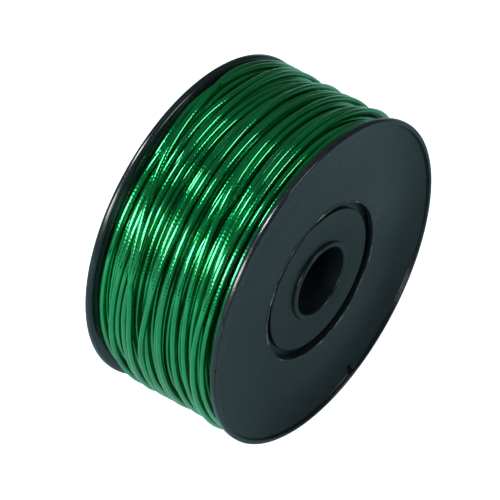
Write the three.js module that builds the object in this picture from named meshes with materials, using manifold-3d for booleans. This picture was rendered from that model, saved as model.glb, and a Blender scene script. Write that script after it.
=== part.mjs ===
// A small moulded wire spool, full of insulated hook-up wire.
// Millimetres, +Z up. The spool lies on its two rims with its bore along Y, and the origin is
// the centre of the bore. The near side faces -Y.

import * as THREE from "three";
import { mergeVertices } from "three/addons/utils/BufferGeometryUtils.js";
import Module from "manifold-3d";

// Driving dimensions of the spool
const FLANGE_R = 38.1;
const WIDTH = 35;
const BORE_R = 8;
const GAP = 0.3; // clearance between pieces that touch on the real spool

// Flange, with depths measured inwards from the plane of its lip
const RIM_WIDTH = 1.5;
const LIP_WIDTH = 1.1;
const LIP_HEIGHT = 0.8;
const EDGE_ROUND = 0.28;
const FLANGE_BORE_R = 18.6;
const SEAT = { radius: 19.1, depth: 3.1 }; // rebate that the end of the barrel sits in
const DISH = { depth: 2.3, radius: 28 }; // the outer face's lowest ring
const HUB_DEPTH = 1.7;
const WEB_AT_RIM = 1.3;
const WEB_AT_HUB = 2.2;
const INNER_SHOULDER = 1.7;
const POCKET_ANGLE = THREE.MathUtils.degToRad(-73.5); // from +X towards +Z
const POCKET_LENGTH = 1.6;
const POCKET_REACH = 1.9;
const POCKET_DEPTH = 0.7;

// Hub caps, sleeve and barrel
const CAP_R = 16.7;
const CAP_DEPTH = 2.2;
const CAP_THICKNESS = 2.2;
const CAP_EDGE = 0.3;
const SLEEVE_R = 9.15;
const SLEEVE_DEPTH = 1.5;
const MOUTH_ROUND = 0.45;
const BARREL_R = 18.8;
const BARREL_WALL = 1.5;
const BARREL_DEPTH = SEAT.depth + GAP;
const PLUG_R = BARREL_R - BARREL_WALL - GAP; // of the cap's lower part, inside the barrel's end

// Wire
const WIRE_R = 0.7;
const WIND_R = 37.1;
const WIND_EDGE_R = 35.5;
const WIND_SHOULDER = 3;
const START_Y = 11.6;
const START_INSIDE_R = 16.2;
const FIRST_TURN_R = 19.55;
const START_ANGLES = { free: -65, lift: -25, out: 4, seat: 33 }; // degrees past +Z, towards +X
const SLOT = { length: 18, width: 2.7, low: 14.5, high: 20.5 };

const FLANGE_SEGMENTS = 96;
const HUB_SEGMENTS = 72;
const ROUND_STEPS = 2;
const FACE_STEPS = 4;

const black = (roughness) => new THREE.MeshStandardMaterial({ color: 0x24272b, roughness, metalness: 0 });
const green = () => new THREE.MeshStandardMaterial({ color: 0x0b8f4c, roughness: 0.3, metalness: 0 });

const wasm = await Module();
wasm.setup();

const solidOf = (geometry) => {
  const bare = geometry.clone();
  bare.deleteAttribute("normal");
  bare.deleteAttribute("uv");
  const merged = mergeVertices(bare, 1e-4);
  const mesh = new wasm.Mesh({
    numProp: 3,
    vertProperties: new Float32Array(merged.attributes.position.array),
    triVerts: new Uint32Array(merged.index.array),
  });
  return new wasm.Manifold(mesh);
};

const geometryOf = (solid) => {
  const mesh = solid.getMesh();
  const geometry = new THREE.BufferGeometry();
  geometry.setAttribute("position", new THREE.BufferAttribute(mesh.vertProperties, 3));
  geometry.setIndex(new THREE.BufferAttribute(mesh.triVerts, 1));
  geometry.computeVertexNormals();
  return geometry;
};

const cut = (body, tool) => geometryOf(solidOf(body).subtract(solidOf(tool)));

// A quarter round from one angle to another, as [radius, depth] points
const round = (centre, radius, from, to) => {
  const points = [];
  for (let i = 0; i <= ROUND_STEPS; i += 1) {
    const angle = THREE.MathUtils.degToRad(from + ((to - from) * i) / ROUND_STEPS);
    points.push([centre[0] + radius * Math.cos(angle), centre[1] + radius * Math.sin(angle)]);
  }
  return points;
};

// Turns a closed outline of [radius, y] points about Y, with a flat facet at the bottom
const turned = (outline, segments) => {
  const points = [...outline, outline[0]].map(([radius, y]) => new THREE.Vector2(radius, y));
  return new THREE.LatheGeometry(points, segments).rotateY(Math.PI / segments);
};

// Outline on the near side, from [radius, depth below the lip] points
const nearSide = (outline) => outline.map(([radius, depth]) => [radius, depth - WIDTH / 2]);

const innerFaceDepth = (radius) => {
  const outer = { radius: FLANGE_R - INNER_SHOULDER, depth: LIP_HEIGHT + WEB_AT_RIM };
  const hub = { radius: SEAT.radius, depth: HUB_DEPTH + WEB_AT_HUB };
  const share = (outer.radius - radius) / (outer.radius - hub.radius);
  return THREE.MathUtils.lerp(outer.depth, hub.depth, share);
};

// From the dish's lowest ring to a height at another radius the face curves as a parabola
const dishedFace = (endRadius, endDepth) => {
  const points = [];
  for (let i = 1; i <= FACE_STEPS; i += 1) {
    const share = i / FACE_STEPS;
    const radius = THREE.MathUtils.lerp(DISH.radius, endRadius, share);
    points.push([radius, THREE.MathUtils.lerp(DISH.depth, endDepth, share ** 2)]);
  }
  return points;
};

const flangeGeometry = () => {
  const lipInner = FLANGE_R - LIP_WIDTH;
  const shoulder = FLANGE_R - INNER_SHOULDER;
  const outline = [
    [SEAT.radius, innerFaceDepth(SEAT.radius)],
    [SEAT.radius, SEAT.depth],
    [FLANGE_BORE_R, SEAT.depth],
    [FLANGE_BORE_R, HUB_DEPTH + EDGE_ROUND],
    ...dishedFace(FLANGE_BORE_R + EDGE_ROUND, HUB_DEPTH).reverse(),
    [DISH.radius, DISH.depth],
    ...dishedFace(lipInner - 0.1, LIP_HEIGHT),
    ...round([lipInner + EDGE_ROUND, EDGE_ROUND], EDGE_ROUND, 180, 270),
    ...round([FLANGE_R - EDGE_ROUND, EDGE_ROUND], EDGE_ROUND, 270, 360),
    ...round([FLANGE_R - EDGE_ROUND, RIM_WIDTH - EDGE_ROUND], EDGE_ROUND, 0, 90),
    [shoulder, innerFaceDepth(shoulder)],
  ];
  return turned(nearSide(outline), FLANGE_SEGMENTS);
};

// Small square pocket in the face at the foot of the lip
const pocketGeometry = () => {
  const faceY = LIP_HEIGHT - WIDTH / 2;
  const box = new THREE.BoxGeometry(POCKET_REACH, 2 * POCKET_DEPTH, POCKET_LENGTH);
  box.translate(FLANGE_R - LIP_WIDTH - POCKET_REACH / 2 + 0.1, faceY, 0);
  return box.rotateY(-POCKET_ANGLE);
};

const hubCapGeometry = () => {
  const holeR = SLEEVE_R + GAP;
  const outline = [
    [holeR, CAP_DEPTH + CAP_THICKNESS],
    [holeR, CAP_DEPTH],
    [CAP_R - CAP_EDGE, CAP_DEPTH],
    [CAP_R, CAP_DEPTH + CAP_EDGE],
    [CAP_R, BARREL_DEPTH],
    [PLUG_R, BARREL_DEPTH],
    [PLUG_R, CAP_DEPTH + CAP_THICKNESS],
  ];
  return turned(nearSide(outline), HUB_SEGMENTS);
};

const sleeveGeometry = () => {
  const half = WIDTH / 2 - SLEEVE_DEPTH;
  const inner = BORE_R + MOUTH_ROUND;
  const outer = SLEEVE_R - EDGE_ROUND;
  const outline = [
    ...round([inner, MOUTH_ROUND - half], MOUTH_ROUND, 180, 270),
    ...round([outer, EDGE_ROUND - half], EDGE_ROUND, 270, 360),
    ...round([outer, half - EDGE_ROUND], EDGE_ROUND, 0, 90),
    ...round([inner, half - MOUTH_ROUND], MOUTH_ROUND, 90, 180),
  ];
  return turned(outline, HUB_SEGMENTS);
};

const barrelGeometry = () => {
  const half = WIDTH / 2 - BARREL_DEPTH;
  const inner = BARREL_R - BARREL_WALL;
  const outline = [
    [inner, half],
    [inner, -half],
    [BARREL_R, -half],
    [BARREL_R, half],
  ];
  const slot = new THREE.BoxGeometry(SLOT.length, SLOT.width, SLOT.high - SLOT.low);
  slot.translate(0, START_Y, (SLOT.high + SLOT.low) / 2);
  return cut(turned(outline, HUB_SEGMENTS), slot);
};

// The wound wire as one plain ring, a little domed, that follows the dished flanges
const windingGeometry = () => {
  const innerR = BARREL_R + GAP;
  const sideAt = (radius) => WIDTH / 2 - innerFaceDepth(radius) - GAP;
  const outline = [
    [innerR, -sideAt(innerR)],
    [WIND_EDGE_R, -sideAt(WIND_EDGE_R)],
    [WIND_R, WIND_SHOULDER - sideAt(WIND_EDGE_R)],
    [WIND_R, sideAt(WIND_EDGE_R) - WIND_SHOULDER],
    [WIND_EDGE_R, sideAt(WIND_EDGE_R)],
    [innerR, sideAt(innerR)],
  ];
  return turned(outline, FLANGE_SEGMENTS);
};

// Inner end of the wire: it lies inside the barrel and climbs out through the slot towards the
// first turn, as far as the winding's own ring
const wireStartGeometry = () => {
  const { free, lift, out, seat } = START_ANGLES;
  const points = [];
  for (let degrees = free; degrees <= out; degrees += 3) {
    const climb = THREE.MathUtils.smoothstep(degrees, lift, seat);
    const radius = THREE.MathUtils.lerp(START_INSIDE_R, FIRST_TURN_R, climb);
    const angle = THREE.MathUtils.degToRad(degrees);
    points.push(new THREE.Vector3(radius * Math.sin(angle), START_Y, radius * Math.cos(angle)));
  }
  const section = new THREE.Shape();
  for (let i = 0; i < 8; i += 1) {
    const angle = ((i + 0.5) * Math.PI) / 4;
    const corner = [WIRE_R * Math.cos(angle), WIRE_R * Math.sin(angle)];
    if (i === 0) section.moveTo(...corner);
    else section.lineTo(...corner);
  }
  section.closePath();
  const path = new THREE.CatmullRomCurve3(points);
  return new THREE.ExtrudeGeometry(section, { steps: 12, bevelEnabled: false, extrudePath: path });
};

const spool = new THREE.Group();

const add = (name, geometry, material, farSide = false) => {
  const mesh = new THREE.Mesh(geometry, material);
  mesh.name = name;
  if (farSide) mesh.rotation.z = Math.PI;
  spool.add(mesh);
};

add("near_flange", cut(flangeGeometry(), pocketGeometry()), black(0.5));
add("far_flange", flangeGeometry(), black(0.5), true);
add("near_hub_cap", hubCapGeometry(), black(0.55));
add("far_hub_cap", hubCapGeometry(), black(0.55), true);
add("spindle_sleeve", sleeveGeometry(), black(0.4));
add("barrel", barrelGeometry(), black(0.55));
add("wire_winding", windingGeometry(), green());
add("wire_start_end", wireStartGeometry(), green());

export default spool;
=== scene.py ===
"""A small black plastic spool, full of green hook-up wire, on a pale studio floor.

Lengths are in millimetres in the functions and turn into metres where a mesh is made.
"""
import math

import bmesh
import bpy
import numpy as np
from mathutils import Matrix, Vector


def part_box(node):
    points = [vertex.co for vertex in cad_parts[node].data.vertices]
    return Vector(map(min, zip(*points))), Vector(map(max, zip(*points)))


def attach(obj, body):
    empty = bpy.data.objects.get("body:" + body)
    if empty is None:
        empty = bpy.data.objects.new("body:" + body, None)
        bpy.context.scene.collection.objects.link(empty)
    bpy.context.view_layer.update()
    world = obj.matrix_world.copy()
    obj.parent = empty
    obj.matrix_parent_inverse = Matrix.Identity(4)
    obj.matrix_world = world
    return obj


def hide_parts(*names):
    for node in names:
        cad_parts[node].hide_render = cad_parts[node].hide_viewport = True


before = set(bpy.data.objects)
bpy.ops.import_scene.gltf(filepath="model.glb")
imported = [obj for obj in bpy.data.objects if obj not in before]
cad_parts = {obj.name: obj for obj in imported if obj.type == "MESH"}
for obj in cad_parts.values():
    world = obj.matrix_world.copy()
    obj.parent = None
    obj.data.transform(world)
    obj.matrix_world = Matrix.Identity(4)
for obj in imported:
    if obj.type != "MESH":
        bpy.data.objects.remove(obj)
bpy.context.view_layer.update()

MM = 0.001

# The spool's dimensions, read from the frame where a node gives them. Depths are measured
# inwards from the plane of a flange's lip.
CAD_GAP = 0.3  # between pieces that touch on the real spool


def box_of(node):
    """The two corners of a CAD node's box, in millimetres"""
    return [corner * 1000 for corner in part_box(node)]


near_low, near_high = box_of("near_flange")
cap_low, cap_high = box_of("near_hub_cap")
sleeve_low, sleeve_high = box_of("spindle_sleeve")
barrel_low = box_of("barrel")[0]
FLANGE_R = near_high.z
WIDTH = -2 * near_low.y
PLUG_R = cap_high.z + 0.9 * CAD_GAP  # of the cap's lower part, which fills the barrel's end
CAP_DEPTH = cap_low.y - near_low.y
CAP_THICKNESS = cap_high.y - cap_low.y
SLEEVE_R = sleeve_high.z
SLEEVE_DEPTH = sleeve_low.y - near_low.y
BARREL_DEPTH = barrel_low.y - near_low.y

BORE_R = 8
CAP_R = 16.7
RIM_WIDTH = 1.5
LIP_WIDTH = 1.1
LIP_HEIGHT = 0.8
LIP_FOOT_R = FLANGE_R - LIP_WIDTH - 0.12
FACE_STEP = 0.9  # between the points of the dished face
FLANGE_BORE_R = 18.6
SEAT_R = 19.1  # of the rebate that the end of the barrel sits in
SEAT_DEPTH = 3.1
DISH_DEPTH = 2.3  # at its deepest
DISH_R = 28  # where it is deepest
HUB_DEPTH = 1.7  # at the edge of the flange's bore
WEB_AT_RIM = 1.3
WEB_AT_HUB = 2.2
INNER_SHOULDER = 1.7
SHARP_ANGLE = math.radians(35)  # an edge that turns more than this isn't smoothed
POCKET_ANGLE = math.radians(-73.5)  # from +X towards +Z, as is the nick's
POCKET_LENGTH = 1.6
POCKET_REACH = 1.9
POCKET_DEPTH = 0.7
NICK_ANGLE = math.radians(174)

# Wire
WIRE_D = 1.4
STRANDS = 7
STRAND_D = 0.2
STRAND_SIDES = 10
START_Y = 11.6
START_INSIDE_R = 16.2
FIRST_R = 19.55
START_FREE, START_LIFT, START_SEAT = -65, -25, 33  # degrees past +Z, towards +X
LAYERS = 14
LAYER_STEP = 1.27
PITCHES = (1.47, 1.6, 1.85)  # of the inner layers, and of the two before the outermost
CLIMB_TURNS = 0.4
TOP_R = 37.25
# From turn to turn of the outermost layer
LOOSE_GAPS = (1.5, 2.4, 1.6, 2.9, 1.5, 2.1, 1.6, 3.0, 1.5, 3.3, 1.6, 2.3, 1.5, 2.2)
RETURN_TURN = (  # degrees past +Z, y and rise above the layer
    (-170, 8.4, 0.8),
    (-105, 5.4, 0.9),
    (-66, 4.0, 0.7),
    (-50, 7.2, 1.1),
    (-12, 12.2, 1.1),
    (30, 13.2, 0.6),
    (85, 13.4, 0.2),
)
SLICES = 120  # places in one turn where the wire's path is worked out


# Camera, at the photograph's viewing angle

def direction(azimuth, elevation):
    azimuth, elevation = math.radians(azimuth), math.radians(elevation)
    level = math.cos(elevation)
    return Vector((math.sin(azimuth) * level, -math.cos(azimuth) * level, math.sin(elevation)))


def place(name, data, location, outwards):
    """Adds a camera or lamp that faces against the outward direction"""
    placed = bpy.data.objects.new(name, data)
    placed.location = location
    placed.rotation_mode = "QUATERNION"
    placed.rotation_quaternion = (-outwards).to_track_quat("-Z", "Y")
    bpy.context.scene.collection.objects.link(placed)
    return placed


def make_camera():
    data = bpy.data.cameras.new("camera")
    data.lens = 214.1
    data.sensor_width = 36
    data.clip_start = 0.01
    data.clip_end = 20
    # The spool isn't in the middle of the photograph, so the camera looks a little past it
    location = Vector((-0.3646, -0.2830, 0.4387))
    bpy.context.scene.camera = place("camera", data, location, direction(-51.86, 43.56))


make_camera()


# Mesh helpers

def new_piece(name, vertices, faces, uvs=None):
    """A smooth mesh object from points in millimetres, riding on the spool"""
    mesh = bpy.data.meshes.new(name)
    mesh.from_pydata(np.asarray(vertices) * MM, [], faces)
    if uvs is not None:
        layer = mesh.uv_layers.new(name="UVMap")
        layer.data.foreach_set("uv", np.asarray(uvs, dtype=np.float32).ravel())
    mesh.polygons.foreach_set("use_smooth", [True] * len(mesh.polygons))
    mesh.update()
    piece = bpy.data.objects.new(name, mesh)
    bpy.context.scene.collection.objects.link(piece)
    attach(piece, "root")
    return piece


def ring_faces(rings, sides):
    """Quads between rings of points, of which the last joins the first"""
    faces = []
    for i in range(rings):
        a, b = i * sides, (i + 1) % rings * sides
        faces += [(a + j, b + j, b + (j + 1) % sides, a + (j + 1) % sides) for j in range(sides)]
    return faces


def inner_face_depth(radius):
    """The flange's inner face is a cone"""
    outer_r = FLANGE_R - INNER_SHOULDER
    outer_depth = LIP_HEIGHT + WEB_AT_RIM
    hub_depth = HUB_DEPTH + WEB_AT_HUB
    share = (outer_r - radius) / (outer_r - SEAT_R)
    return outer_depth + share * (hub_depth - outer_depth)


def outer_face_depth(radius):
    """The flange's outer face curves down from the lip and up again to the hub"""
    if radius > DISH_R:
        share = (radius - DISH_R) / (LIP_FOOT_R - DISH_R)
        return DISH_DEPTH + (LIP_HEIGHT - DISH_DEPTH) * share**2
    share = (DISH_R - radius) / (DISH_R - FLANGE_BORE_R)
    return DISH_DEPTH + (HUB_DEPTH - DISH_DEPTH) * share**2


def ease(x):
    """From 0 to 1, level at both ends"""
    x = np.clip(x, 0, 1)
    return x * x * (3 - 2 * x)


def moving_mean(values, half):
    """The mean over half samples to each side, with the ends held"""
    padded = np.concatenate([np.full(half, values[0]), values, np.full(half, values[-1])])
    total = np.cumsum(np.concatenate([[0], padded]))
    width = 2 * half + 1
    return (total[width:] - total[:-width]) / width


def smooth_noise(rng, count, scale):
    """Random values, about 1 in size, that change over scale samples"""
    knots = rng.normal(size=int(count / scale) + 4)
    values = np.interp(np.arange(count) / scale, np.arange(len(knots)), knots)
    return moving_mean(values, int(scale / 2))


# The wire's path, as y and r against turns from +Z towards +X

def side_limit(r):
    """How far from the middle the wire's centre can go between the flanges"""
    return WIDTH / 2 - inner_face_depth(r) - WIRE_D / 2 - 0.04


def winding_keys():
    """Corners of the route: (turns, y, r), laid to and fro and a layer step further out"""
    turn, y, r, side = START_SEAT / 360, START_Y, FIRST_R, 1
    keys = [(turn, y, r)]
    for layer in range(LAYERS - 1):
        side = -side
        end = side * side_limit(r)
        turn += abs(end - y) / PITCHES[max(0, layer - LAYERS + 1 + len(PITCHES))]
        keys.append((turn, end, r))
        turn += CLIMB_TURNS
        r += LAYER_STEP
        y = side * side_limit(r)
        keys.append((turn, y, r))
    for gap in LOOSE_GAPS:
        turn += 1
        y += gap
        keys.append((turn, y, r))
    # From the far flange the wire comes back in one turn over the last few, drops into the
    # wide gap and at last runs steeply across to the far flange again
    last = math.ceil(turn + 0.6)
    keys.append((last - 20 / 360, y + 0.5, r))
    for degrees, across, rise in RETURN_TURN:
        keys.append((last + 1 + degrees / 360, across, r + rise))
    return np.array(keys)


def near_pairs(y, r):
    """Turns that come near each other at any slice"""
    y, r = y[:, ::6], r[:, ::6]
    near = np.zeros((len(y), len(y)), bool)
    for slice_y, slice_r in zip(y.T, r.T):
        distance = np.hypot(slice_y[:, None] - slice_y, slice_r[:, None] - slice_r)
        near |= (distance < 2 * WIRE_D) & (slice_r > 0) & (slice_r[:, None] > 0)
    return np.nonzero(np.triu(near, 1))


def settle(first, y, r, rounds=220):
    """Pulls the wire tight, turn on turn, over a set number of rounds that push apart turns lying in
    each other
    """
    turns = (first + len(y)) // SLICES + 1
    laid = slice(first, first + len(y))
    ys, rs = np.zeros(turns * SLICES), np.full(turns * SLICES, -100.0)
    ys[laid], rs[laid] = y, r
    for step in range(rounds):
        if step % 40 == 0:
            below, above = near_pairs(ys.reshape(turns, -1), rs.reshape(turns, -1))
            order = np.argsort(above, kind="stable")
            lower, lower_start = np.unique(below, return_index=True)
            upper, upper_start = np.unique(above[order], return_index=True)
        # A pull inwards that fades, some smoothing, and a drift back to the route
        rs[laid] -= 0.002 + 0.015 * max(0, 1 - step / (rounds * 0.8))
        for values in (ys, rs):
            values[laid] += 0.5 * (moving_mean(moving_mean(values[laid], 2), 2) - values[laid])
        ys[laid] += 0.05 * (y - ys[laid])
        ys[first : first + 3], rs[first : first + 3] = y[:3], FIRST_R
        # The upper of two turns in each other gives way more than the lower
        for _ in range(3):
            y2, r2 = ys.reshape(turns, -1), rs.reshape(turns, -1)
            dy, dr = y2[above] - y2[below], r2[above] - r2[below]
            distance = np.sqrt(dy * dy + dr * dr) + 1e-9
            push = 0.8 * np.maximum(WIRE_D + 0.01 - distance, 0) / distance
            push[(r2[below] < 0) | (r2[above] < 0)] = 0
            for moved, gap in ((y2, dy), (r2, dr)):
                shift = push * gap
                moved[lower] -= 0.35 * np.add.reduceat(shift, lower_start, axis=0)
                moved[upper] += 0.65 * np.add.reduceat(shift[order], upper_start, axis=0)
            rs[laid] = np.clip(rs[laid], FIRST_R, TOP_R)
            limit = side_limit(rs[laid])
            ys[laid] = np.clip(ys[laid], -limit, limit)
    return ys[laid], rs[laid]


def wire_path():
    """Points along the wire's centre, and where its two outer layers begin"""
    rng = np.random.default_rng(7)
    keys = winding_keys()
    first, last = (round(turn * SLICES) for turn in (keys[0, 0], keys[-1, 0]))
    turn = np.arange(first, last + 1) / SLICES
    y = moving_mean(np.interp(turn, keys[:, 0], keys[:, 1]), 8)
    r = moving_mean(np.interp(turn, keys[:, 0], keys[:, 2]), 6)
    # The outer layers wander more
    y += 1.3 * ease((r - 32) / 3) * smooth_noise(rng, len(y), 24)
    y = np.clip(y, -side_limit(r), side_limit(r))
    y, r = settle(first, y, r)
    y, r = moving_mean(moving_mean(y, 2), 2), moving_mean(moving_mean(r, 2), 2)
    outer = int(np.argmax(r > FIRST_R + (LAYERS - 2.6) * LAYER_STEP))
    # The inner end lies inside the barrel and climbs out through the slot
    start_turn = np.arange(START_FREE, START_SEAT, 2.5) / 360
    climb = ease((start_turn * 360 - START_LIFT) / (START_SEAT - START_LIFT))
    start_r = START_INSIDE_R + (FIRST_R - START_INSIDE_R) * climb
    turn = np.concatenate([start_turn, turn])
    y = np.concatenate([np.full(len(start_turn), START_Y), y])
    r = np.concatenate([start_r, r])
    angle = 2 * np.pi * turn
    points = np.stack([r * np.sin(angle), y, r * np.cos(angle)], axis=1)
    return points, outer + len(start_turn)


def tube(points, outer, coarse_step=6, coarse_sides=6, fine_sides=12):
    """A closed tube along the points, coarse where the outer layers hide it"""
    keep = np.concatenate([np.arange(0, outer, coarse_step), np.arange(outer, len(points))])
    fine = keep >= outer
    along = np.concatenate([[0], np.cumsum(np.linalg.norm(np.diff(points, axis=0), axis=1))])
    tangent = np.gradient(points, axis=0)
    tangent /= np.linalg.norm(tangent, axis=1)[:, None]
    outward = points * (1, 0, 1)
    outward -= (outward * tangent).sum(1)[:, None] * tangent
    outward /= np.linalg.norm(outward, axis=1)[:, None]
    across = np.cross(tangent, outward)
    vertices, faces, uvs, rings = [], [], [], []
    count = 0
    for index, is_fine in zip(keep, fine):
        sides = fine_sides if is_fine else coarse_sides
        angle = 2 * np.pi * np.arange(sides) / sides
        ring = np.outer(np.cos(angle), outward[index]) + np.outer(np.sin(angle), across[index])
        vertices.append(points[index] + ring * WIRE_D / 2)
        rings.append((count, sides, along[index]))
        count += sides
    for (a, sides_a, u_a), (b, sides_b, u_b) in zip(rings, rings[1:]):
        times = sides_b // sides_a
        for j in range(sides_a):
            k = (j + 1) % sides_a
            v0, v1 = j / sides_a, (j + 1) / sides_a
            if times == 1:
                faces.append((a + j, a + k, b + k, b + j))
                uvs += [(u_a, v0), (u_a, v1), (u_b, v1), (u_b, v0)]
            else:
                mid = (v0 + v1) / 2
                faces.append((a + j, b + 2 * j + 1, b + 2 * j))
                uvs += [(u_a, v0), (u_b, mid), (u_b, v0)]
                faces.append((a + j, a + k, b + 2 * j + 1))
                uvs += [(u_a, v0), (u_a, v1), (u_b, mid)]
                faces.append((a + k, b + 2 * k, b + 2 * j + 1))
                uvs += [(u_a, v1), (u_b, v1), (u_b, mid)]
    for ring_start, sides, u in (rings[0], rings[-1]):
        corners = list(range(ring_start, ring_start + sides))
        if ring_start == 0:
            corners.reverse()
        faces.append(corners)
        uvs += [(u, j / sides) for j in range(sides)]
    return np.concatenate(vertices), faces, uvs, along[-1]


def make_wire():
    points, outer = wire_path()
    vertices, faces, uvs, length = tube(points, outer)
    wire = new_piece("wire", vertices, faces, uvs)
    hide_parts("wire_winding", "wire_start_end")
    return wire, points, length


def make_strands(name, end, along):
    """The bare strands that show where the wire is cut, one in the middle and six round it"""
    along = along / np.linalg.norm(along)
    side = np.cross(along, (0, 1, 0))
    side /= np.linalg.norm(side)
    other = np.cross(along, side)
    angle = 2 * np.pi * np.arange(STRAND_SIDES) / STRAND_SIDES
    ring = np.outer(np.cos(angle), side) + np.outer(np.sin(angle), other)
    vertices, faces = [], []
    for strand in range(STRANDS):
        turn = strand * math.pi / 3
        offset = (side * math.cos(turn) + other * math.sin(turn)) * STRAND_D * (strand > 0)
        reach = 0.2 + 0.03 * (strand % 3)
        for out, radius in ((-0.3, 0.5), (reach, 0.5), (reach + 0.06, 0.35)):
            vertices.append(end + offset + along * out + ring * radius * STRAND_D)
        first = strand * 3 * STRAND_SIDES
        for low in (first, first + STRAND_SIDES):
            for j in range(STRAND_SIDES):
                k = (j + 1) % STRAND_SIDES
                faces.append((low + j, low + k, low + STRAND_SIDES + k, low + STRAND_SIDES + j))
        faces.append(list(range(first, first + STRAND_SIDES)))
        top = first + 2 * STRAND_SIDES
        faces.append(list(range(top, top + STRAND_SIDES)))
    return new_piece(name, np.concatenate(vertices), faces)


wire, wire_points, wire_length = make_wire()
strands = [
    make_strands("inner_end_strands", wire_points[0], wire_points[0] - wire_points[1]),
    make_strands("outer_end_strands", wire_points[-1], wire_points[-1] - wire_points[-2]),
]


# Moulded pieces

def rounded(outline, steps=5):
    """Replaces each corner (radius, depth, round) of a closed outline by an arc"""
    points = []
    count = len(outline)
    for index, (x, y, size) in enumerate(outline):
        corner = np.array([x, y], float)
        if not size:
            points.append(corner)
            continue
        before = np.array(outline[index - 1][:2]) - corner
        after = np.array(outline[(index + 1) % count][:2]) - corner
        start = corner + before / np.linalg.norm(before) * size
        end = corner + after / np.linalg.norm(after) * size
        for step in range(steps + 1):
            t = step / steps
            points.append((1 - t) ** 2 * start + 2 * t * (1 - t) * corner + t * t * end)
    return np.array(points)


def turn_out(mesh):
    """Turns every face outwards and keeps real corners sharp"""
    build = bmesh.new()
    build.from_mesh(mesh)
    bmesh.ops.recalc_face_normals(build, faces=build.faces)
    build.to_mesh(mesh)
    build.free()
    mesh.set_sharp_from_angle(angle=SHARP_ANGLE)


def turned(name, outline, segments=256, far_side=False):
    """Turns a closed outline of (radius, depth below the lip) about the bore"""
    radius, depth = outline[:, 0], outline[:, 1]
    angle = 2 * np.pi * (np.arange(segments) + 0.5) / segments
    y = depth - WIDTH / 2
    sign = -1 if far_side else 1
    vertices = [
        (r * math.sin(a) * sign, y_ * sign, r * math.cos(a))
        for a in angle
        for r, y_ in zip(radius, y)
    ]
    piece = new_piece(name, vertices, ring_faces(segments, len(outline)))
    turn_out(piece.data)
    return piece


# Outlines are lists of (radius, depth, round)

def flange_outline():
    shoulder = FLANGE_R - INNER_SHOULDER
    dish = np.arange(FLANGE_BORE_R + FACE_STEP, LIP_FOOT_R - FACE_STEP / 2, FACE_STEP)
    return rounded(
        [
            (SEAT_R, inner_face_depth(SEAT_R), 0),
            (SEAT_R, SEAT_DEPTH, 0),
            (FLANGE_BORE_R, SEAT_DEPTH, 0),
            (FLANGE_BORE_R, HUB_DEPTH, 0.3),
            *((r, outer_face_depth(r), 0) for r in dish),
            (LIP_FOOT_R, LIP_HEIGHT, 0.16),
            (FLANGE_R - LIP_WIDTH, 0, 0.22),
            (FLANGE_R, 0, 0.6),
            (FLANGE_R, RIM_WIDTH, 0.6),
            (shoulder, inner_face_depth(shoulder), 0.3),
        ]
    )


def hub_cap_outline():
    hole = SLEEVE_R + 0.15 * CAD_GAP
    return rounded(
        [
            (hole, CAP_DEPTH + CAP_THICKNESS, 0),
            (hole, CAP_DEPTH, 0.08),
            (CAP_R, CAP_DEPTH, 0.3),
            (CAP_R, BARREL_DEPTH, 0.15),
            (PLUG_R, BARREL_DEPTH, 0),
            (PLUG_R, CAP_DEPTH + CAP_THICKNESS, 0),
        ]
    )


def sleeve_outline():
    end = WIDTH - SLEEVE_DEPTH
    return rounded(
        [
            (BORE_R, SLEEVE_DEPTH, 0.45),
            (SLEEVE_R, SLEEVE_DEPTH, 0.5),
            (SLEEVE_R, end, 0.5),
            (BORE_R, end, 0.45),
        ]
    )


def weld_flash(name, far_side):
    """The ragged bead that welding left round the edge of the flange's bore"""
    rng = np.random.default_rng(11 + far_side)
    count, sides = 360, 8
    angle = 2 * np.pi * np.arange(count) / count
    ragged = np.abs(smooth_noise(rng, count, 4)) * 0.6 + np.abs(smooth_noise(rng, count, 25))
    size = 0.08 + 0.12 * np.clip(ragged, 0, 1.6)
    size[-8:] = np.linspace(size[-8], size[0], 8)  # the bead's two ends meet
    wander = 0.05 * np.sin(7 * angle) + 0.04 * np.sin(13 * angle + 1)
    sign = -1 if far_side else 1
    vertices = []
    for a, width, off in zip(angle, size, wander):
        for side in range(sides):
            b = 2 * math.pi * side / sides
            r = FLANGE_BORE_R + 0.06 + off + width * math.cos(b)
            depth = HUB_DEPTH + 0.8 * width * math.sin(b)
            y = depth - WIDTH / 2
            vertices.append((r * math.sin(a) * sign, y * sign, r * math.cos(a)))
    bead = new_piece(name, vertices, ring_faces(count, sides))
    turn_out(bead.data)
    return bead


def cut(piece, name, size, turn_angle, radius, depth, tilt=0.0):
    """Cuts a box, centred at a radius and depth, out of a moulding on the near side"""
    mesh = bpy.data.meshes.new(name)
    build = bmesh.new()
    bmesh.ops.create_cube(build, size=1)
    bmesh.ops.scale(build, vec=Vector(size) * MM, verts=build.verts)
    bmesh.ops.bevel(
        build, geom=build.edges[:], offset=0.12 * MM, segments=2, affect="EDGES", profile=0.5
    )
    build.to_mesh(mesh)
    build.free()
    tool = bpy.data.objects.new(name, mesh)
    bpy.context.scene.collection.objects.link(tool)
    tool.rotation_euler = (tilt, -turn_angle, 0)
    tool.location = Vector(
        (radius * math.cos(turn_angle), depth - WIDTH / 2, radius * math.sin(turn_angle))
    ) * MM
    modifier = piece.modifiers.new("cut", "BOOLEAN")
    modifier.object = tool
    modifier.operation = "DIFFERENCE"
    modifier.solver = "EXACT"
    evaluated = piece.evaluated_get(bpy.context.evaluated_depsgraph_get())
    result = bpy.data.meshes.new_from_object(evaluated)
    piece.modifiers.clear()
    piece.data = result
    result.set_sharp_from_angle(angle=SHARP_ANGLE)
    bpy.data.objects.remove(tool)


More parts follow.
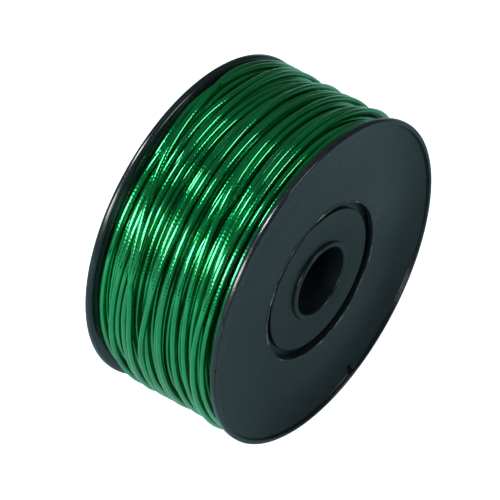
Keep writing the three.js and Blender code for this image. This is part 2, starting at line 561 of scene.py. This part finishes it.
flanges = []
caps = []
flashes = []
for side in ("near", "far"):
    is_far = side == "far"
    flange = turned(f"{side}_flange_moulding", flange_outline(), far_side=is_far)
    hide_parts(f"{side}_flange")
    cap = turned(f"{side}_hub_cap_moulding", hub_cap_outline(), far_side=is_far)
    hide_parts(f"{side}_hub_cap")
    flanges.append(flange)
    caps.append(cap)
    flashes.append(weld_flash(f"{side}_weld_flash", is_far))
sleeve = turned("spindle_sleeve_tube", sleeve_outline())
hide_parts("spindle_sleeve")
cut(
    flanges[0],
    "pocket",
    (POCKET_REACH, 2 * POCKET_DEPTH, POCKET_LENGTH),
    POCKET_ANGLE,
    FLANGE_R - LIP_WIDTH - POCKET_REACH / 2 + 0.1,
    LIP_HEIGHT,
)
# A small dent that handling left in the near rim
cut(flanges[0], "nick", (0.7, 0.5, 1.1), NICK_ANGLE, FLANGE_R - 0.1, 0.05, tilt=0.5)
for strand in strands:
    turn_out(strand.data)


# Materials

class Nodes:
    """Short calls that add and link the nodes of one material"""

    def __init__(self, name):
        self.material = bpy.data.materials.new(name)
        self.material.use_nodes = True
        self.tree = self.material.node_tree
        self.shader = self.tree.nodes["Principled BSDF"]

    def add(self, kind, values=(), **settings):
        node = self.tree.nodes.new(kind)
        for key, value in settings.items():
            setattr(node, key, value)
        for socket, value in dict(values).items():
            self.put(node.inputs[socket], value)
        return node

    def put(self, socket, value):
        if isinstance(value, bpy.types.NodeSocket):
            self.tree.links.new(value, socket)
        else:
            socket.default_value = value

    def math(self, operation, *values):
        node = self.add("ShaderNodeMath", operation=operation)
        for socket, value in zip(node.inputs, values):
            self.put(socket, value)
        return node.outputs[0]

    def remap(self, value, low, high, to_low=0.0, to_high=1.0):
        node = self.add(
            "ShaderNodeMapRange",
            {"Value": value, "From Min": low, "From Max": high, "To Min": to_low, "To Max": to_high},
        )
        return node.outputs[0]

    def noise(self, vector, scale, detail=2.0, roughness=0.5):
        node = self.add(
            "ShaderNodeTexNoise",
            {"Vector": vector, "Scale": scale, "Detail": detail, "Roughness": roughness},
        )
        return node.outputs["Fac"]

    def mix(self, factor, first, second):
        node = self.add("ShaderNodeMix", data_type="RGBA")
        self.put(node.inputs["Factor"], factor)
        self.put(node.inputs["A"], first)
        self.put(node.inputs["B"], second)
        return node.outputs["Result"]

    def bump(self, height, strength, distance, normal=None):
        node = self.add(
            "ShaderNodeBump", {"Height": height, "Strength": strength, "Distance": distance}
        )
        if normal is not None:
            self.put(node.inputs["Normal"], normal)
        return node.outputs[0]

    def shade(self, **values):
        for name, value in values.items():
            self.put(self.shader.inputs[name.replace("_", " ")], value)


def colour(red, green, blue):
    return (red, green, blue, 1)


def make_wire_material():
    """Clear green insulation over bright strands, which break its gloss into beads"""
    nodes = Nodes("green_insulation")
    place = nodes.add("ShaderNodeTexCoord")
    uv = nodes.add("ShaderNodeSeparateXYZ", {"Vector": place.outputs["UV"]})
    along, around = uv.outputs[0], uv.outputs[1]
    metres = place.outputs["Object"]
    # The strands' lay shows as ribs across the wire, a little slanted and uneven in strength
    turns = nodes.math("ADD", around, nodes.math("DIVIDE", along, 0.85))
    rib = nodes.math("SINE", nodes.math("MULTIPLY", turns, 2 * math.pi))
    run = nodes.add("ShaderNodeCombineXYZ", {"X": along, "Y": around})
    patch = nodes.remap(nodes.noise(run.outputs[0], 0.05, 3), 0.45, 0.65, 0.08, 1)
    grain = nodes.noise(metres, 1800, 1)
    height = nodes.math("ADD", nodes.math("MULTIPLY", rib, patch), nodes.math("MULTIPLY", grain, 0.5))
    normal = nodes.bump(height, 0.5, 0.00003)
    tone = nodes.remap(nodes.noise(metres, 90, 3), 0.3, 0.7)
    base = nodes.mix(tone, colour(0.001, 0.225, 0.06), colour(0.002, 0.37, 0.105))
    rough = nodes.remap(nodes.noise(metres, 700, 2), 0.3, 0.7, 0.08, 0.15)
    nodes.shade(Base_Color=base, Metallic=0.85, Roughness=rough, Normal=normal)
    nodes.shade(Coat_Weight=0.9, Coat_Roughness=0.06)
    nodes.shader.inputs["Coat IOR"].default_value = 1.45
    nodes.shader.inputs["Specular IOR Level"].default_value = 0.1
    return nodes.material


def make_plastic_material(name, grain_depth, low_rough, high_rough, wear, ringed):
    """Moulded black plastic with a fine grain, handling marks and rubbed edges"""
    nodes = Nodes(name)
    place = nodes.add("ShaderNodeTexCoord").outputs["Object"]
    xyz = nodes.add("ShaderNodeSeparateXYZ", {"Vector": place})
    flat = nodes.add("ShaderNodeCombineXYZ", {"X": xyz.outputs[0], "Z": xyz.outputs[2]})
    radius = nodes.add("ShaderNodeVectorMath", {0: flat.outputs[0]}, operation="LENGTH")
    radius = radius.outputs["Value"]
    cloud = nodes.remap(nodes.noise(place, 60, 4), 0.35, 0.65)
    smear = nodes.remap(nodes.noise(place, 260, 5, 0.65), 0.4, 0.7)
    grain = nodes.noise(place, 5200, 2)
    pebble = nodes.noise(place, 1500, 3)
    # Scratches: a few thin lines from stretched noise
    turned_place = nodes.add(
        "ShaderNodeMapping", {"Vector": place, "Rotation": (0.2, 0.7, 0.5), "Scale": (6, 1, 40)}
    )
    line = nodes.noise(turned_place.outputs[0], 55, 2)
    scratch = nodes.remap(nodes.math("ABSOLUTE", nodes.math("SUBTRACT", line, 0.5)), 0, 0.006, 1, 0)
    patches = nodes.remap(nodes.noise(place, 120, 2), 0.52, 0.62)
    scratch = nodes.math("MULTIPLY", scratch, patches)
    edge = nodes.remap(radius, (FLANGE_R - 0.35) * MM, FLANGE_R * MM)
    rubbed = nodes.math("MULTIPLY", edge, nodes.remap(nodes.noise(place, 900, 4), 0.5, 0.75))
    rubbed = nodes.math("MULTIPLY", rubbed, wear)
    base = nodes.mix(cloud, colour(0.006, 0.011, 0.0125), colour(0.0085, 0.015, 0.017))
    base = nodes.mix(rubbed, base, colour(0.05, 0.06, 0.063))
    base = nodes.mix(nodes.math("MULTIPLY", scratch, 0.5), base, colour(0.06, 0.065, 0.07))
    dust = nodes.remap(nodes.noise(place, 2400, 0), 0.8, 0.86)
    base = nodes.mix(dust, base, colour(0.1, 0.1, 0.09))
    rough = nodes.remap(nodes.math("ADD", cloud, smear), 0, 2, low_rough, high_rough)
    rim = nodes.remap(radius, (FLANGE_R - LIP_WIDTH - 0.3) * MM, (FLANGE_R - LIP_WIDTH) * MM)
    rough = nodes.remap(rim, 0, 1, rough, 0.15)
    height = nodes.math("ADD", nodes.math("MULTIPLY", grain, 0.6), pebble)
    height = nodes.math("SUBTRACT", height, nodes.math("MULTIPLY", scratch, 0.6))
    normal = nodes.bump(height, 0.6, grain_depth * MM)
    nodes.shade(Base_Color=base, Roughness=rough, Normal=normal)
    # The mould was turned, so its finish is smoother along the rings than across them
    ring = nodes.add("ShaderNodeTangent", direction_type="RADIAL", axis="Y").outputs[0]
    nodes.shade(Tangent=ring, Anisotropic=ringed)
    nodes.shader.inputs["Specular IOR Level"].default_value = 0.4
    return nodes.material


def make_flash_material():
    """Torn plastic along the weld, whitened where it was stressed"""
    nodes = Nodes("black_weld_flash")
    place = nodes.add("ShaderNodeTexCoord").outputs["Object"]
    torn = nodes.remap(nodes.noise(place, 420, 3), 0.5, 0.68)
    fibre = nodes.remap(nodes.noise(place, 3000, 2), 0.3, 0.7, 0.4, 1)
    torn = nodes.math("MULTIPLY", torn, fibre)
    base = nodes.mix(torn, colour(0.035, 0.045, 0.047), colour(0.3, 0.31, 0.27))
    normal = nodes.bump(fibre, 0.6, 0.00003)
    nodes.shade(Base_Color=base, Roughness=0.55, Normal=normal)
    return nodes.material


def make_strand_material():
    """Bright copper, a little dulled in places"""
    nodes = Nodes("copper_strands")
    place = nodes.add("ShaderNodeTexCoord").outputs["Object"]
    dull = nodes.remap(nodes.noise(place, 3000, 3), 0.35, 0.7)
    base = nodes.mix(dull, colour(0.9, 0.5, 0.32), colour(0.55, 0.26, 0.15))
    rough = nodes.remap(dull, 0, 1, 0.2, 0.45)
    nodes.shade(Base_Color=base, Metallic=1, Roughness=rough)
    return nodes.material


wire.data.materials.append(make_wire_material())
strand_metal = make_strand_material()
for strand in strands:
    strand.data.materials.append(strand_metal)
face_plastic = make_plastic_material("black_moulded_face", 0.012, 0.22, 0.3, wear=0.1, ringed=0.4)
hub_plastic = make_plastic_material("black_moulded_hub", 0.015, 0.28, 0.36, wear=0, ringed=0.4)
sleeve_plastic = make_plastic_material("black_moulded_sleeve", 0.012, 0.26, 0.38, wear=0, ringed=0)
for flange in flanges:
    flange.data.materials.append(face_plastic)
for cap in caps:
    cap.data.materials.append(hub_plastic)
flash_plastic = make_flash_material()
for flash in flashes:
    flash.data.materials.append(flash_plastic)
sleeve.data.materials.append(sleeve_plastic)
barrel_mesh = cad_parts["barrel"].data
barrel_mesh.materials.clear()
barrel_mesh.materials.append(hub_plastic)


# Studio

def make_floor():
    half = 3
    height = (-FLANGE_R - 0.2) * MM
    mesh = bpy.data.meshes.new("floor")
    corners = [(-half, -half), (half, -half), (half, half), (-half, half)]
    mesh.from_pydata([(x, y, height) for x, y in corners], [], [(0, 1, 2, 3)])
    floor = bpy.data.objects.new("floor", mesh)
    bpy.context.scene.collection.objects.link(floor)
    nodes = Nodes("pale_floor")
    # The camera sees the floor plain white, and the spool mirrors it as the lamps light it
    seen = nodes.add("ShaderNodeLightPath").outputs["Is Camera Ray"]
    glow = nodes.mix(seen, colour(0, 0, 0), colour(0.93, 0.93, 0.93))
    nodes.shade(Base_Color=colour(0.41, 0.63, 0.67), Roughness=0.9, Emission_Color=glow)
    nodes.shader.inputs["Specular IOR Level"].default_value = 0
    nodes.shader.inputs["Emission Strength"].default_value = 1
    mesh.materials.append(nodes.material)


def make_world():
    world = bpy.data.worlds.new("studio")
    world.use_nodes = True
    tree = world.node_tree
    background = tree.nodes["Background"]
    background.inputs["Color"].default_value = colour(0.9, 0.92, 0.95)
    path = tree.nodes.new("ShaderNodeLightPath")
    level = tree.nodes.new("ShaderNodeMapRange")
    level.inputs["To Min"].default_value = 0.11
    level.inputs["To Max"].default_value = 0.9
    tree.links.new(path.outputs["Is Camera Ray"], level.inputs["Value"])
    tree.links.new(level.outputs[0], background.inputs["Strength"])
    bpy.context.scene.world = world


def area_light(name, azimuth, elevation, distance, width, height, watts):
    """A softbox that faces the spool"""
    data = bpy.data.lights.new(name, "AREA")
    data.shape = "RECTANGLE"
    data.size = width
    data.size_y = height
    data.energy = watts
    outwards = direction(azimuth, elevation)
    place(name, data, outwards * distance, outwards)


make_floor()
make_world()
area_light("left_softbox", -113, 28, 0.9, 0.24, 0.26, 4.8)
area_light("left_front_softbox", -78, 26, 0.9, 0.2, 0.3, 2)
area_light("left_wall", -98, 24, 1.2, 1.4, 0.9, 2.2)
area_light("back_softbox", -141, 56, 1.0, 0.2, 0.2, 4)
area_light("front", 20, 35, 1.2, 0.4, 0.3, 4)
bpy.context.scene.view_settings.view_transform = "Standard"
